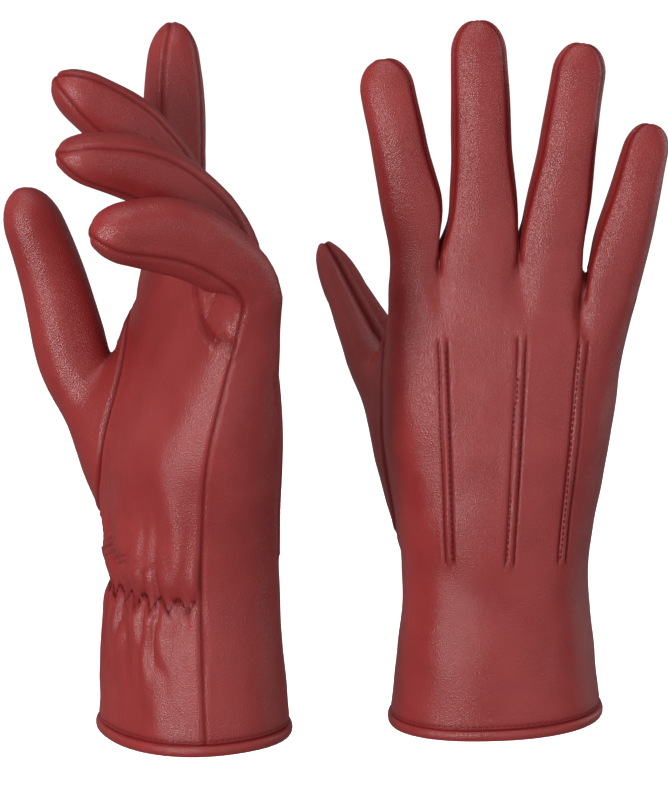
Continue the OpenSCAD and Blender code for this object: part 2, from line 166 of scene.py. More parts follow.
# columns across one strip, closer together at its edges
EDGE = [0, 0.45, 0.9, 1.35, 1.8, 2.4, 3.2, 4.4, 6.0, 8.0]
ACROSS = np.array([e / 20 for e in EDGE] + [0.5] + [1 - e / 20 for e in reversed(EDGE)])
NC = len(ACROSS)  # columns of one strip
V_COLUMNS = [NC - 1, 2 * (NC - 1), 3 * (NC - 1)]  # columns that end at a V
NK = 12  # steps across one fourchette
ROW_V = 74  # the row that ends at the V's
ROW_RING = ROW_V + 7  # the first row that is a ring of a finger
ROWS_LOW, ROWS_TOP = 8.2, 150  # heights of the even rows
STRETCH_FROM = 92  # above this the rows spread out to end at their own heights
RING_START = 14.0  # distance of that first ring from the knuckle
THUMB_LOW, THUMB_HIGH, THUMB_REACH = 61.0, 139.0, 74.0
GUSSET_STEPS = 16
THUMB_START = -3.0  # distance of the thumb's first ring from its root
QUIRK_ROWS, QUIRK_COLUMNS = 10, 4.4


def thumb_reach(z):
    """How many degrees the thumb's opening takes from the palm at a height."""
    middle, half = (THUMB_LOW + THUMB_HIGH) / 2, (THUMB_HIGH - THUMB_LOW) / 2
    t = np.abs((np.asarray(z, float) - middle) / half)
    return THUMB_REACH * np.sqrt(np.maximum(1 - t**2.6, 0))


# ------------ fingers and thumb
def digit_frame(root, aim, towards):
    d = unit(aim)
    n = np.asarray(towards, float) - np.dot(towards, d) * d
    n = unit(n)
    return {"root": np.asarray(root, float), "d": d, "n": n, "across": np.cross(n, d)}


def finger_roots():
    width = sum(WIDTHS) + 3 * FINGER_GAP
    x = FINGER_SHIFT - width / 2
    roots = []
    for i, w in enumerate(WIDTHS):
        roots.append(np.array([x + w / 2, -KNUCKLE_SET_BACK, KNUCKLE_Z[i]]))
        x += w + FINGER_GAP
    return roots


def digit_centre(f, s, length, bend, curl, out=0.0):
    """Centre, direction and palm side at a distance along a digit, which curls in its middle."""
    steps = np.linspace(0, max(s, 1e-6), 25)
    mids = (steps[1:] + steps[:-1]) / 2
    turn = np.radians(bend + curl * smooth((mids / length - 0.25) / 0.55))
    lean = np.radians(out * smooth(mids / length))
    way = (f["d"] * np.cos(turn)[:, None] + f["n"] * np.sin(turn)[:, None])
    way = way * np.cos(lean)[:, None] - f["across"] * np.sin(lean)[:, None]
    centre = f["root"] + (way * np.diff(steps)[:, None]).sum(0)
    d = unit(way[-1])
    n = unit(np.cross(np.cross(d, f["n"] * math.cos(turn[-1]) - f["d"] * math.sin(turn[-1])), d))
    return centre, d, n


def digit_ring(f, s, length, bend, curl, width, angles, taper, tip_share, squareness=2.45, out=0.0,
               depth=0.92, thicken=0.0, flatten=0.0):
    """Points round a digit at a distance along it, closing over its tip."""
    tip = tip_share * width
    run = length - tip
    past = max(s - run, 0) / tip
    size = math.sqrt(max(1 - min(past, 1) ** 2, 0)) ** 0.92
    centre, d, n = digit_centre(f, s, length, bend, curl, out)
    along = min(max(s / run, 0), 1)
    slim = 1 - taper * along
    a = np.radians(np.asarray(angles, float))
    blend_round = min(past * 1.3, 1)
    q = squareness * (1 - blend_round) + 2.0 * blend_round
    x = width / 2 * slim * size * rounded(np.cos(a), q)
    flat = 1 - flatten * smooth((s / length - 0.55) / 0.5)
    y = -width * depth * flat * (1 + thicken * along) / 2 * slim * size * rounded(np.sin(a), q)
    across = np.cross(n, d)
    return centre + across * x[:, None] + n * y[:, None]


RING_STEP = 2.1
TIP_ANGLES = (10, 20, 30, 40, 50, 59, 67, 74, 80, 85, 88.5)


def digit_stops(start, length, width, tip_share):
    """Distances of a digit's rings: even along its run, closer together over its tip."""
    tip = tip_share * width
    run = length - tip
    count = int(round((run - start) / RING_STEP))
    stops = list(np.linspace(start, run, count + 1))
    return stops + [run + tip * math.sin(math.radians(a)) for a in TIP_ANGLES]


# angles round a finger of its seams, and how far a fourchette spans from the back one
ULNAR_SEAM, RADIAL_SEAM, FOURCHETTE_SPAN = 34, 146, 79
INNER_BACK, INNER_PALM = (RADIAL_SEAM, ULNAR_SEAM), (225, 315)
BACK_SEAMS = [(180, ULNAR_SEAM), INNER_BACK, INNER_BACK, (RADIAL_SEAM, OUTSEAM)]
PALM_SEAMS = [(180, 315), INNER_PALM, INNER_PALM, (225, 340)]
FINGER_TIP_SHARE = 0.5
FINGER_FLATTEN = 0.34


class Skin:
    """Vertices and labelled faces of one glove's leather, in the right glove's frame."""

    def __init__(self):
        self.points = []
        self.faces = []
        self.labels = []
        self.bodies = []
        self.seams = {}

    def add(self, p):
        self.points.append(np.asarray(p, float))
        return len(self.points) - 1

    def face(self, ids, label, body):
        ids = [v for k, v in enumerate(ids) if v != ids[k - 1]]
        if len(ids) > 2:
            self.faces.append(ids)
            self.labels.append(label)
            self.bodies.append(body)

    def grid(self, ids, label, body, flip=False, closed=False):
        """Faces between rows of vertices."""
        rows, cols = len(ids), len(ids[0])
        for r in range(rows - 1):
            for c in range(cols if closed else cols - 1):
                d = (c + 1) % cols
                quad = [ids[r][c], ids[r][d], ids[r + 1][d], ids[r + 1][c]]
                self.face(quad[::-1] if flip else quad, label, body)


def hermite(p0, t0, p1, t1, t):
    return ((2 * t**3 - 3 * t**2 + 1) * p0 + (t**3 - 2 * t**2 + t) * t0
            + (3 * t**2 - 2 * t**3) * p1 + (t**3 - t**2) * t1)


def build_skin(pose):
    s = Skin()
    roots = finger_roots()
    frames = []
    for root, tilt in zip(roots, np.radians(TILTS)):
        frames.append(digit_frame(root, (math.sin(tilt), 0, math.cos(tilt)), (0, 1, 0)))

    # --- hand rows: common heights, stretched near the top so each column ends at its own height
    common = np.concatenate([[BINDING + rise for rise in (0.1, 0.6, 1.2, 1.9, 2.8)],
                             np.linspace(ROWS_LOW, ROWS_TOP, ROW_V - 4)])
    tops_x = [0, 0.5, 1, 1.5, 2, 2.5, 3, 3.6, 4]
    back_tops_z = [157.5, 160.5, V_BACK_Z[0], 161.5, V_BACK_Z[1], 157.5, V_BACK_Z[2], 147.0, 143.0]
    palm_tops_z = [157.5, 161.0, V_PALM_Z[0], 162.0, V_PALM_Z[1], 158.5, V_PALM_Z[2], 148.0, 143.0]

    def column(c, tops, inner_edges, last_edge):
        """Angles and heights of one column; inner_edges gives the angles of the three V lines."""
        strip = min(c // (NC - 1), 3)
        u = ACROSS[c - strip * (NC - 1)]
        top = curve_lookup(strip + u, tops_x, tops)
        spread = smooth((common - STRETCH_FROM) / (ROWS_TOP - STRETCH_FROM))
        z = common + (top - ROWS_TOP) * spread
        edges = [np.full_like(z, 180.0), *inner_edges(z), np.full_like(z, last_edge)]
        return edges[strip] * (1 - u) + edges[strip + 1] * u, z

    def back_edges(z):
        return [back_angle(np.interp(z, *line), z) for line in V_LINES]

    def palm_edges(z):
        return [np.interp(z, [0, ROWS_TOP], line) for line in PALM_LINES]

    hb, hp = [], []
    ncols = 4 * (NC - 1) + 1
    for c in range(ncols):
        angle, z = column(c, back_tops_z, back_edges, float(OUTSEAM))
        hb.append([s.add(q) for q in hand(angle, lifted(angle, z))])
    palm_span = 180 + OUTSEAM
    for c in range(ncols):
        angle, z = column(c, palm_tops_z, palm_edges, OUTSEAM + 360.0)
        reach = thumb_reach(z)
        angle = 180 + reach + (angle - 180) * (palm_span - reach) / palm_span
        p = hand(angle, lifted(angle, z))
        if c == 0:
            hp.append([hb[0][r] if reach[r] <= 0 else s.add(p[r]) for r in range(len(z))])
        elif c == ncols - 1:
            hp.append(list(hb[-1]))
        else:
            hp.append([s.add(q) for q in p])
    hb, hp = np.array(hb).T, np.array(hp).T  # [row][column]
    P = s.points

    # --- each V is drawn in between the fingers, on the back and on the palm
    for grid, side, depth in ((hb, -1, 3.0), (hp, 1, 2.0)):
        for c0 in V_COLUMNS:
            for r in range(ROW_V + 1):
                fade = smooth((common[r] - 126) / 26) ** 2
                if fade <= 0:
                    continue
                centre = P[grid[r][c0]].copy()
                for c in range(c0 - NC + 2, c0 + NC - 1):
                    d = np.linalg.norm(P[grid[r][c]] - centre)
                    P[grid[r][c]][1] -= side * depth * fade * math.exp(-(d / 4.2) ** 2)

    # --- web rows
    web = []
    for c0, web_z in zip(V_COLUMNS, WEB_Z):
        first, last = hb[ROW_V][c0], hp[ROW_V][c0]
        row = [first]
        for k in range(1, NK):
            v = k / NK
            p = P[first] * (1 - v) + P[last] * v
            p[2] = p[2] + (web_z - p[2]) * math.sin(math.pi * v) ** 0.7
            row.append(s.add(p))
        web.append(row + [last])

    # --- fingers
    finger_rows = []
    for i in range(4):
        f, bend, curl = frames[i], pose["bends"][i], pose["curls"][i]
        length = LENGTHS[i] * pose["stretch"][i]
        size = dict(width=BASE_WIDTHS[i], taper=1 - TIP_WIDTHS[i] / BASE_WIDTHS[i],
                    tip_share=FINGER_TIP_SHARE, depth=pose["depth"][i], thicken=pose["thicken"][i],
                    flatten=FINGER_FLATTEN)
        stops = digit_stops(RING_START, length, BASE_WIDTHS[i], FINGER_TIP_SHARE)
        (b0, b1), (p0, p1) = BACK_SEAMS[i], PALM_SEAMS[i]
        span = FOURCHETTE_SPAN * np.arange(NK + 1) / NK
        rings = {}
        for name, angles in (("back", b0 + (b1 - b0) * ACROSS), ("palm", p0 + (p1 - p0) * ACROSS),
                             ("ulnar", ULNAR_SEAM - span), ("radial", RADIAL_SEAM + span)):
            rings[name] = [digit_ring(f, st, length, bend, curl, angles=angles, **size)
                           for st in stops]
        _, forward, _ = digit_centre(f, RING_START, length, bend, curl)
        strip = slice(i * (NC - 1), (i + 1) * (NC - 1) + 1)
        base = {"back": list(hb[ROW_V][strip]), "palm": list(hp[ROW_V][strip])}
        below = {"back": list(hb[ROW_V - 1][strip]), "palm": list(hp[ROW_V - 1][strip])}
        rows = {"back": [base["back"]], "palm": [base["palm"]]}
        steps = ROW_RING - ROW_V
        for name in ("back", "palm"):
            rows[name] += [[None] * NC for _ in range(1, steps + len(stops))]
            for c in range(NC):
                p0, pm = P[base[name][c]], P[below[name][c]]
                p1 = rings[name][0][c]
                reach = np.linalg.norm(p1 - p0)
                t0 = unit(p0 - pm) * reach * 0.9
                t1 = forward * reach * 0.9
                for m in range(1, steps):
                    rows[name][m][c] = s.add(hermite(p0, t0, p1, t1, m / steps))
                for m in range(steps, steps + len(stops)):
                    rows[name][m][c] = s.add(rings[name][m - steps][c])
        if i in (0, 3):
            outer = 0 if i == 0 else -1
            for back, palm in zip(rows["back"][1:], rows["palm"][1:]):
                palm[outer] = back[outer]
        sides = []
        if i < 3:
            sides.append(("ulnar", web[i], -1, np.array([-1.0, 0, 0])))
        if i > 0:
            sides.append(("radial", web[i - 1], 0, np.array([1.0, 0, 0])))
        for name, web_row, edge, lateral in sides:
            grid = [list(web_row)]
            for m in range(1, steps + len(stops)):
                row = [rows["back"][m][edge]]
                for k in range(1, NK):
                    if m < steps:
                        p0, p1 = P[web_row[k]], rings[name][0][k]
                        reach = np.linalg.norm(p1 - p0)
                        v = math.sin(math.pi * k / NK) ** 0.5
                        t0 = unit(lateral * v + np.array([0, 0, 1.0]) * (1.15 - v)) * reach * 0.8
                        row.append(s.add(hermite(p0, t0, p1, forward * reach * 1.1, m / steps)))
                    else:
                        row.append(s.add(rings[name][m - steps][k]))
                row.append(rows["palm"][m][edge])
                grid.append(row)
            rows[name] = grid
        finger_rows.append(rows)

    # --- thumb: from the loop of its opening, over the gusset, into its own tube
    reach_rows = [r for r in range(ROW_V + 1) if hp[r][0] != hb[r][0]]
    low_row, high_row = reach_rows[0] - 1, reach_rows[-1] + 1
    loop = [hb[r][0] for r in range(high_row, low_row, -1)]
    loop += [hp[r][0] for r in range(low_row, high_row)]
    n = len(loop)
    f = digit_frame(THUMB_ROOT, pose["aim"], (1, 0, 0))
    shares = np.concatenate([[0], np.cumsum([np.linalg.norm(P[loop[(k + 1) % n]] - P[loop[k]])
                                            for k in range(n)])])
    half = high_row - low_row
    angles = np.where(np.arange(n) <= half,
                      180 * shares[:n] / shares[half],
                      180 + 180 * (shares[:n] - shares[half]) / (shares[n] - shares[half]))
    length = pose["thumb_length"]
    stops = digit_stops(THUMB_START, length, THUMB_WIDTH, pose["thumb_tip"])
    turn = dict(bend=0, curl=pose["thumb_curl"], width=THUMB_WIDTH, squareness=2.2,
                taper=pose["thumb_taper"], out=pose["thumb_out"], tip_share=pose["thumb_tip"])
    rings = []
    for st in stops:
        ring = digit_ring(f, max(st, 0.01), length, angles=angles, **turn)
        if st < 0:
            ring = ring + f["d"] * st
        rings.append(ring)
    grid = [loop] + [[None] * n for _ in range(1, GUSSET_STEPS)]
    for k in range(n):
        p0, p1 = P[loop[k]], rings[0][k]
        reach = np.linalg.norm(p1 - p0)
        t0 = unit(f["d"] * 0.75 + unit(np.array([-1.0, 0.6, 0])) * 0.5) * reach * 0.9
        t1 = f["d"] * reach * 0.9
        for m in range(1, GUSSET_STEPS):
            grid[m][k] = s.add(hermite(p0, t0, p1, t1, m / GUSSET_STEPS))
    for ring in rings:
        grid.append([s.add(p) for p in ring])
    # --- faces
    for r in range(ROW_V):
        for c in range(ncols - 1):
            near = min(abs(c + 0.5 - v) for v in V_COLUMNS)
            z = P[hb[r][c]][2]
            is_point = near < 3 and POINT_LOW < z < POINT_HIGH
            s.face([hb[r][c], hb[r][c + 1], hb[r + 1][c + 1], hb[r + 1][c]],
                   "points" if is_point else "back_panel", "hand")
            s.face([hp[r][c], hp[r + 1][c], hp[r + 1][c + 1], hp[r][c + 1]], "palm_panel", "hand")
    for i, rows in enumerate(finger_rows):
        name = FINGERS[i]
        s.grid(rows["back"], name + "_back", name)
        s.grid(rows["palm"], name + "_palm", name, flip=True)
        if "ulnar" in rows:
            s.grid(rows["ulnar"], name + "_fourchettes", name)
        if "radial" in rows:
            s.grid(rows["radial"], name + "_fourchettes", name, flip=True)
        ring = list(rows["back"][-1])
        if "ulnar" in rows:
            ring += rows["ulnar"][-1][1:-1]
        ring += rows["palm"][-1][::-1]
        if "radial" in rows:
            ring += rows["radial"][-1][1:-1][::-1]
        if ring[0] == ring[-1]:
            ring.pop()
        ring = [v for k, v in enumerate(ring) if v != ring[k - 1]]
        pole = s.add(np.mean([P[v] for v in ring], 0))
        for k, v in enumerate(ring):
            s.face([ring[k - 1], v, pole], name + "_back", name)
    s.grid(grid[:GUSSET_STEPS + 1], "thumb_gusset", "hand", flip=True, closed=True)
    s.grid(grid[GUSSET_STEPS:], "thumb_leather", "thumb", flip=True, closed=True)
    pole = s.add(np.mean([P[v] for v in grid[-1]], 0))
    for k, v in enumerate(grid[-1]):
        s.face([v, grid[-1][k - 1], pole], "thumb_leather", "thumb")

    s.parts = {"hb": hb, "hp": hp, "web": web, "fingers": finger_rows, "thumb": grid,
               "frames": frames, "thumb_frame": f}
    s.points = np.array(s.points)
    return s


def neighbours(skin):
    """Each edge of the skin once, as a pair of vertices."""
    edges = set()
    for f in skin.faces:
        for k, v in enumerate(f):
            edges.add((min(v, f[k - 1]), max(v, f[k - 1])))
    return np.array(sorted(edges))


def relax(points, edges, weight, rounds):
    """Moves points towards the mean of their neighbours; weight is 0 for points that stay."""
    n = len(points)
    count = np.bincount(edges.ravel(), minlength=n).astype(float)
    count[count == 0] = 1
    w = weight[:, None]
    for _ in range(rounds):
        total = np.zeros_like(points)
        np.add.at(total, edges[:, 0], points[edges[:, 1]])
        np.add.at(total, edges[:, 1], points[edges[:, 0]])
        points = points + w * (total / count[:, None] - points)
    return points


def vertex_normals(points, faces):
    mesh = bpy.data.meshes.new("scratch")
    mesh.from_pydata(points.tolist(), [], faces)
    mesh.update()
    n = np.empty(len(points) * 3)
    mesh.vertex_normals.foreach_get("vector", n)
    bpy.data.meshes.remove(mesh)
    return n.reshape(-1, 3)


# ------------ folds, seams and gathers
def lengths_along(points):
    return np.concatenate([[0], np.cumsum(np.linalg.norm(np.diff(points, axis=0), axis=1))])


def chain(points, step=0.4):
    """The polyline through points, sampled finely."""
    points = np.asarray(points, float)
    at = lengths_along(points)
    count = max(int(at[-1] / step), 1)
    stops = np.linspace(0, at[-1], count + 1)
    return np.stack([np.interp(stops, at, points[:, k]) for k in range(3)], 1)


def distance_to(points, lines, reach):
    """Distance from each point to the nearest of the lines, at most reach."""
    samples = np.concatenate([chain(line) for line in lines])
    tree = kdtree.KDTree(len(samples))
    for k, p in enumerate(samples):
        tree.insert(p, k)
    tree.balance()
    low, high = samples.min(0) - reach, samples.max(0) + reach
    out = np.full(len(points), reach)
    near = np.nonzero(((points > low) & (points < high)).all(1))[0]
    for k in near:
        out[k] = min(tree.find(points[k])[2], reach)
    return out


PUFF_AT, PUFF_WIDTH = 1.7, 0.8


def groove(d, depth, width, puff):
    """A sunk seam with the leather puffed up beside it."""
    return -depth * bell(d, width) + puff * bell(d - PUFF_AT, PUFF_WIDTH)


def noise_at(points, scale, seed=0.0, stretch=(1, 1, 1)):
    shift = Vector((seed, seed * 0.7, -seed))
    k = [1 / (scale * f) for f in stretch]
    return np.array([noise.noise(Vector((p[0] * k[0], p[1] * k[1], p[2] * k[2])) + shift)
                     for p in points])


def wrist_noise(arc, dz, across, along, seed):
    return np.array([noise.noise(Vector((a / across, z / along, seed))) for a, z in zip(arc, dz)])


def finger_seam_lines(points, rows):
    lines = []
    for name, other in (("ulnar", -1), ("radial", 0)):
        if name in rows:
            lines.append([points[r[other]] for r in rows["back"]])
            lines.append([points[r[other]] for r in rows["palm"]])
    return lines


GAP_CLOSING = 0.74  # how far the sides of two fingers are drawn together above a V


def shape_skin(skin):
    """Relaxes the base surface and closes the gaps at the roots of the fingers."""
    parts = skin.parts
    hb, hp, fingers = parts["hb"], parts["hp"], parts["fingers"]
    edges = neighbours(skin)
    weight = np.zeros(len(skin.points))
    for r in range(ROW_V - 12, ROW_V + 1):
        ramp = min((r - ROW_V + 12) / 8, 1)
        weight[hb[r]] = 0.5 * ramp
        weight[hp[r]] = 0.5 * ramp
    for rows in fingers:
        for name in ("back", "palm", "ulnar", "radial"):
            for m, row in enumerate(rows.get(name, [])[:ROW_RING - ROW_V + 5]):
                weight[row] = 0.5 if m < ROW_RING - ROW_V + 2 else 0.25
    for c, web in zip(V_COLUMNS, parts["web"]):
        for r in range(ROW_V - 4, ROW_V + 1):
            weight[hb[r][c]] = weight[hp[r][c]] = 0.12
        weight[web] = 0.2
    for rows in fingers:
        for name, other in (("ulnar", -1), ("radial", 0)):
            if name in rows:
                for m in range(1, 6):
                    weight[rows["back"][m][other]] = weight[rows["palm"][m][other]] = 0.15
    p = relax(skin.points, edges, weight, 6)

    for i in range(3):
        left, right = fingers[i]["ulnar"], fingers[i + 1]["radial"]
        for m in range(1, 17):
            share = GAP_CLOSING * float(smooth(m / 2.0) * (1 - smooth((m - 1) / 16)))
            middle = (p[left[m][NK // 2]][0] + p[right[m][NK // 2]][0]) / 2
            ids = set(left[m]) | set(right[m])
            ids |= set(fingers[i]["back"][m][-9:]) | set(fingers[i]["palm"][m][-9:])
            ids |= set(fingers[i + 1]["back"][m][:9]) | set(fingers[i + 1]["palm"][m][:9])
            for v in ids:
                d = p[v][0] - middle
                p[v][0] = middle + d * (1 - share * math.exp(-(d / 5.5) ** 2))

    grid = parts["thumb"]
    weight[:] = 0
    for m in range(1, GUSSET_STEPS + 4):
        weight[grid[m]] = 0.5
    for c in range(0, 16):
        weight[hp[:, c]] = np.maximum(weight[hp[:, c]], 0.25)
    for c in range(0, 6):
        weight[hb[:, c]] = np.maximum(weight[hb[:, c]], 0.25)
    weight[grid[0]] = 0.3
    for cols in (hp[:, :12], hb[:, :7]):
        ids = cols[(p[cols][:, :, 2] > 118) & (p[cols][:, :, 2] < 156)]
        weight[ids] = 0.5
    low = p[:, 2] < 30
    weight[low] = 0
    skin.points = relax(p, edges, weight, 14)


def hand_angles(p):
    """Angle about the hand, from its middle, of points on it."""
    z = p[:, 2]
    x = p[:, 0] - (curve_lookup(z, SECTION_Z, X_LOW) + curve_lookup(z, SECTION_Z, X_HIGH)) / 2
    y = p[:, 1] - curve_lookup(z, SECTION_Z, Y_MIDDLE)
    return np.degrees(np.arctan2(-y, x)) % 360


def window(x, low, high, soft):
    return smooth((x - low) / soft) * smooth((high - x) / soft)


WRIST_Z = 51.0  # height of the elastic
WRIST_RADIUS = 30
GATHER_FROM, GATHER_TO = 206, 336
GATHER_WIDTH = 7.2
GATHER_DEPTH, FINER_DEPTH, FAN_DEPTH, PINCH_DEPTH = 2.1, 0.6, 2.6, 1.1
ZIGZAG_CORNERS, ZIGZAG_HALF = 20, 2.6


def wrist_gathers(p):
    """Soft puffs and pinched creases either side of the elastic, on the palm side."""
    angle = hand_angles(p)
    arc = np.radians(angle) * WRIST_RADIUS
    dz = p[:, 2] - WRIST_Z
    env = window(angle, GATHER_FROM - 12, GATHER_TO + 16, 22)
    fall = np.where(dz > 0, bell(dz, 19), bell(dz, 26))
    slant = arc + np.where(dz > 0, 0.25, 0.42) * dz
    fan = wrist_noise(slant, dz, 8.5, 60, 5.7)
    away = np.clip(np.abs(dz) / 9, 0, 1) * bell(dz, 34)
    bend = wrist_noise(arc, dz, 9, 30, 3.1)
    finer = wrist_noise(arc, dz, 3.5, 22, 8.7)
    phase = arc / GATHER_WIDTH + 0.9 * bend * (1 - bell(dz, 10)) + 0.25 * bend
    puff = np.abs(np.sin(math.pi * phase)) ** 0.65 - 0.62
    near = 0.35 + 0.65 * smooth(np.abs(dz) / 7)
    size = GATHER_DEPTH * env * fall * near
    pinch = -PINCH_DEPTH * env * bell(dz, 4.2)
    return size * puff + FINER_DEPTH * finer * env * fall + FAN_DEPTH * fan * env * away + pinch


def zigzag_corners():
    """Angle and height of each corner of the stitched zigzag."""
    out = []
    for k in range(ZIGZAG_CORNERS):
        angle = GATHER_FROM + 4 + (GATHER_TO - GATHER_FROM - 4) * k / (ZIGZAG_CORNERS - 1)
        out.append((angle, WRIST_Z - 1 + (ZIGZAG_HALF if k % 2 else -ZIGZAG_HALF)))
    return out


POINT_STITCH_OFFSET = 1.5  # from the middle of a raised point to the stitches beside it
HEM_STITCH_RISE = 1.5  # from the binding up to the stitches above it


def draw_details(skin, side):
    """Draws the seams, raised points, gathers and folds, and notes the painted shade in their
    creases and grooves.
    """
    parts = skin.parts
    hb, hp, fingers = parts["hb"], parts["hp"], parts["fingers"]
    p = skin.points
    n = vertex_normals(p, skin.faces)
    move = np.zeros(len(p))
    # painted shade: how much each point's leather colour is darkened in sunk seams, grooves and
    # folds
    crease = np.zeros(len(p))

    owner = {"hand": set(hb.ravel().tolist()) | set(hp.ravel().tolist())}
    for f, body in zip(skin.faces, skin.bodies):
        owner.setdefault(body, set()).update(f)

    # paints shade into the leather's colour, keeping the darkest amount at each point
    def paint_shade(ids, amount):
        crease[ids] = np.maximum(crease[ids], amount)

    def seam(ids, lines, depth, width=0.6, puff=0.3, shade_amount=1.0, reach=4.0):
        ids = np.array(sorted(ids))
        d = distance_to(p[ids], lines, reach)
        move[ids] += groove(d, depth, width, puff) * (d < reach)
        # painted shade along the seam's groove
        paint_shade(ids, shade_amount * bell(d, 0.7))

    for i, rows in enumerate(fingers):
        lines = finger_seam_lines(p, rows)
        if i == 3:
            lines.append([p[r[-1]] for r in rows["back"]])
        seam(owner[FINGERS[i]], lines, depth=0.36, width=0.5, puff=0.2, shade_amount=0.6)
    hand_ids = owner["hand"]
    thumb = parts["thumb"]
    seam(hand_ids, [[p[v] for v in hb[:, -1]]], depth=0.32, width=0.45, puff=0.16, shade_amount=0.6)
    loop = [p[v] for v in thumb[0]] + [p[thumb[0][0]]]
    seam(hand_ids | owner["thumb"], [loop], depth=0.65, width=0.7, puff=0.45)
    seam(owner["thumb"] | hand_ids, [[p[row[0]] for row in thumb[4:]]], depth=0.5)

    # the quirk's two edges
    around = len(thumb[0])
    for turn in (1, -1):
        edge = []
        for m in range(QUIRK_ROWS + 1):
            k = QUIRK_COLUMNS * math.sin(math.pi * m / QUIRK_ROWS)
            a = p[thumb[m][(turn * int(k)) % around]]
            b = p[thumb[m][(turn * (int(k) + 1)) % around]]
            edge.append(a + (b - a) * (k - int(k)))
        seam(owner["thumb"] | hand_ids, [edge], depth=0.5, width=0.5)

    # raised points, with painted shade in the stitched grooves beside them
    ridge_ids = np.array(sorted(hb.ravel().tolist()))
    for i, c0 in enumerate(V_COLUMNS):
        column = [p[v] for v in hb[:, c0]]
        line = [q for q in column if POINT_LOW < q[2] < POINT_HIGH]
        d = distance_to(p[ridge_ids], [line], 5.0)
        move[ridge_ids] += (0.62 * bell(d, 0.9) - 0.5 * bell(d - POINT_STITCH_OFFSET, 0.4)
                            + 0.12 * bell(d - 2.7, 0.7)) * (d < 5)
        paint_shade(ridge_ids, 0.9 * bell(d - POINT_STITCH_OFFSET, 0.36))
        skin.seams["point%d" % i] = line

    all_hand = np.array(sorted(hand_ids))
    move[all_hand] += wrist_gathers(p[all_hand])
    zigzag = [hand(a, z) for a, z in zigzag_corners()]
    d = distance_to(p[all_hand], [zigzag], 3.0)
    move[all_hand] -= 0.7 * bell(d, 0.8)
    # painted shade in the zigzag's groove
    paint_shade(all_hand, 0.8 * bell(d, 0.8))
    if side == "left":
        fold = [hand(a, z) for a, z in ((286, 147), (300, 139), (318, 134), (338, 132))]
        d = distance_to(p[all_hand], [fold], 6.0)
        move[all_hand] += groove(d, 1.9, 1.6, 1.1) * (d < 6)
        # painted shade in the palm's fold
        paint_shade(all_hand, 0.5 * bell(d, 1.2))

    # hem: a groove above the binding, and a shallow one along its row of stitches, both darkened
    # with painted shade
    ids = np.array(sorted(set(hb[:6].ravel().tolist()) | set(hp[:6].ravel().tolist())))
    base = hem_height(hand_angles(p[ids])) + BINDING
    dz = p[ids][:, 2] - base
    move[ids] += -0.5 * bell(dz, 0.5) - 0.2 * bell(dz - HEM_STITCH_RISE, 0.35)
    paint_shade(ids, 0.9 * bell(dz, 0.55))
    paint_shade(ids, 0.5 * bell(dz - HEM_STITCH_RISE, 0.4))

    # slow hollows and fine creases
    slow = noise_at(p, 26, 1.3) * 0.8 + noise_at(p, 11, 4.2) * 0.28
    is_hand = np.zeros(len(p), bool)
    is_hand[all_hand] = True
    calm = np.where(is_hand, 1.0, 0.65) * smooth(p[:, 2] / 20)
    move += slow * calm

    def around_points(places, reach):
        """1 at the nearest of the places, fading away from it."""
        return np.max([bell(np.linalg.norm(p - q, axis=1), reach) for q in places], 0)

    move += around_points([p[thumb[0][0]]], 16) * noise_at(p, 3.4, 9.0, (1, 1, 0.5)) * 0.3
    webs = [p[grid[ROW_V][c]] for c in V_COLUMNS for grid in (hb, hp)]
    move += around_points(webs, 11) * noise_at(p, 3.2, 5.5, (0.6, 1, 1.4)) * 0.4
    if side == "left":
        bends = [f["root"] + np.array([0, 9, 1.0]) for f in parts["frames"][1:]]
        move += around_points(bends, 12) * noise_at(p, 4.2, 2.5, (1.6, 1, 0.55)) * 0.8
    skin.points = p + n * move[:, None]
    skin.crease = crease
    skin.normals = vertex_normals(skin.points, skin.faces)


# ------------ materials
def principled(name, colour, roughness, sheen=0.0):
    mat = bpy.data.materials.new(name)
    mat.use_nodes = True
    bsdf = mat.node_tree.nodes["Principled BSDF"]
    bsdf.inputs["Base Color"].default_value = (*colour, 1)
    bsdf.inputs["Roughness"].default_value = roughness
    bsdf.inputs["Sheen Weight"].default_value = sheen
    return mat, bsdf


def texture(mat, kind, scale, **inputs):
    nodes, links = mat.node_tree.nodes, mat.node_tree.links
    coords = nodes.get("coords")
    if coords is None:
        coords = nodes.new("ShaderNodeTexCoord")
        coords.name = "coords"
    tex = nodes.new(kind)
    tex.inputs["Scale"].default_value = scale
    for key, value in inputs.items():
        tex.inputs[key].default_value = value
    links.new(coords.outputs["Object"], tex.inputs["Vector"])
    return tex


def ramp(mat, source, stops):
    """Colours at places between 0 and 1."""
    node = mat.node_tree.nodes.new("ShaderNodeValToRGB")
    elements = node.color_ramp.elements
    elements[0].position, elements[0].color = stops[0][0], (*stops[0][1], 1)
    elements[1].position, elements[1].color = stops[-1][0], (*stops[-1][1], 1)
    for at, colour in stops[1:-1]:
        e = elements.new(at)
        e.color = (*colour, 1)
    mat.node_tree.links.new(source, node.inputs["Fac"])
    return node.outputs["Color"]


def bump(mat, height, strength, distance, below=None):
    node = mat.node_tree.nodes.new("ShaderNodeBump")
    node.inputs["Strength"].default_value = strength
    node.inputs["Distance"].default_value = distance
    mat.node_tree.links.new(height, node.inputs["Height"])
    if below is not None:
        mat.node_tree.links.new(below, node.inputs["Normal"])
    return node.outputs["Normal"]


def grey(value):
    return (value,) * 3


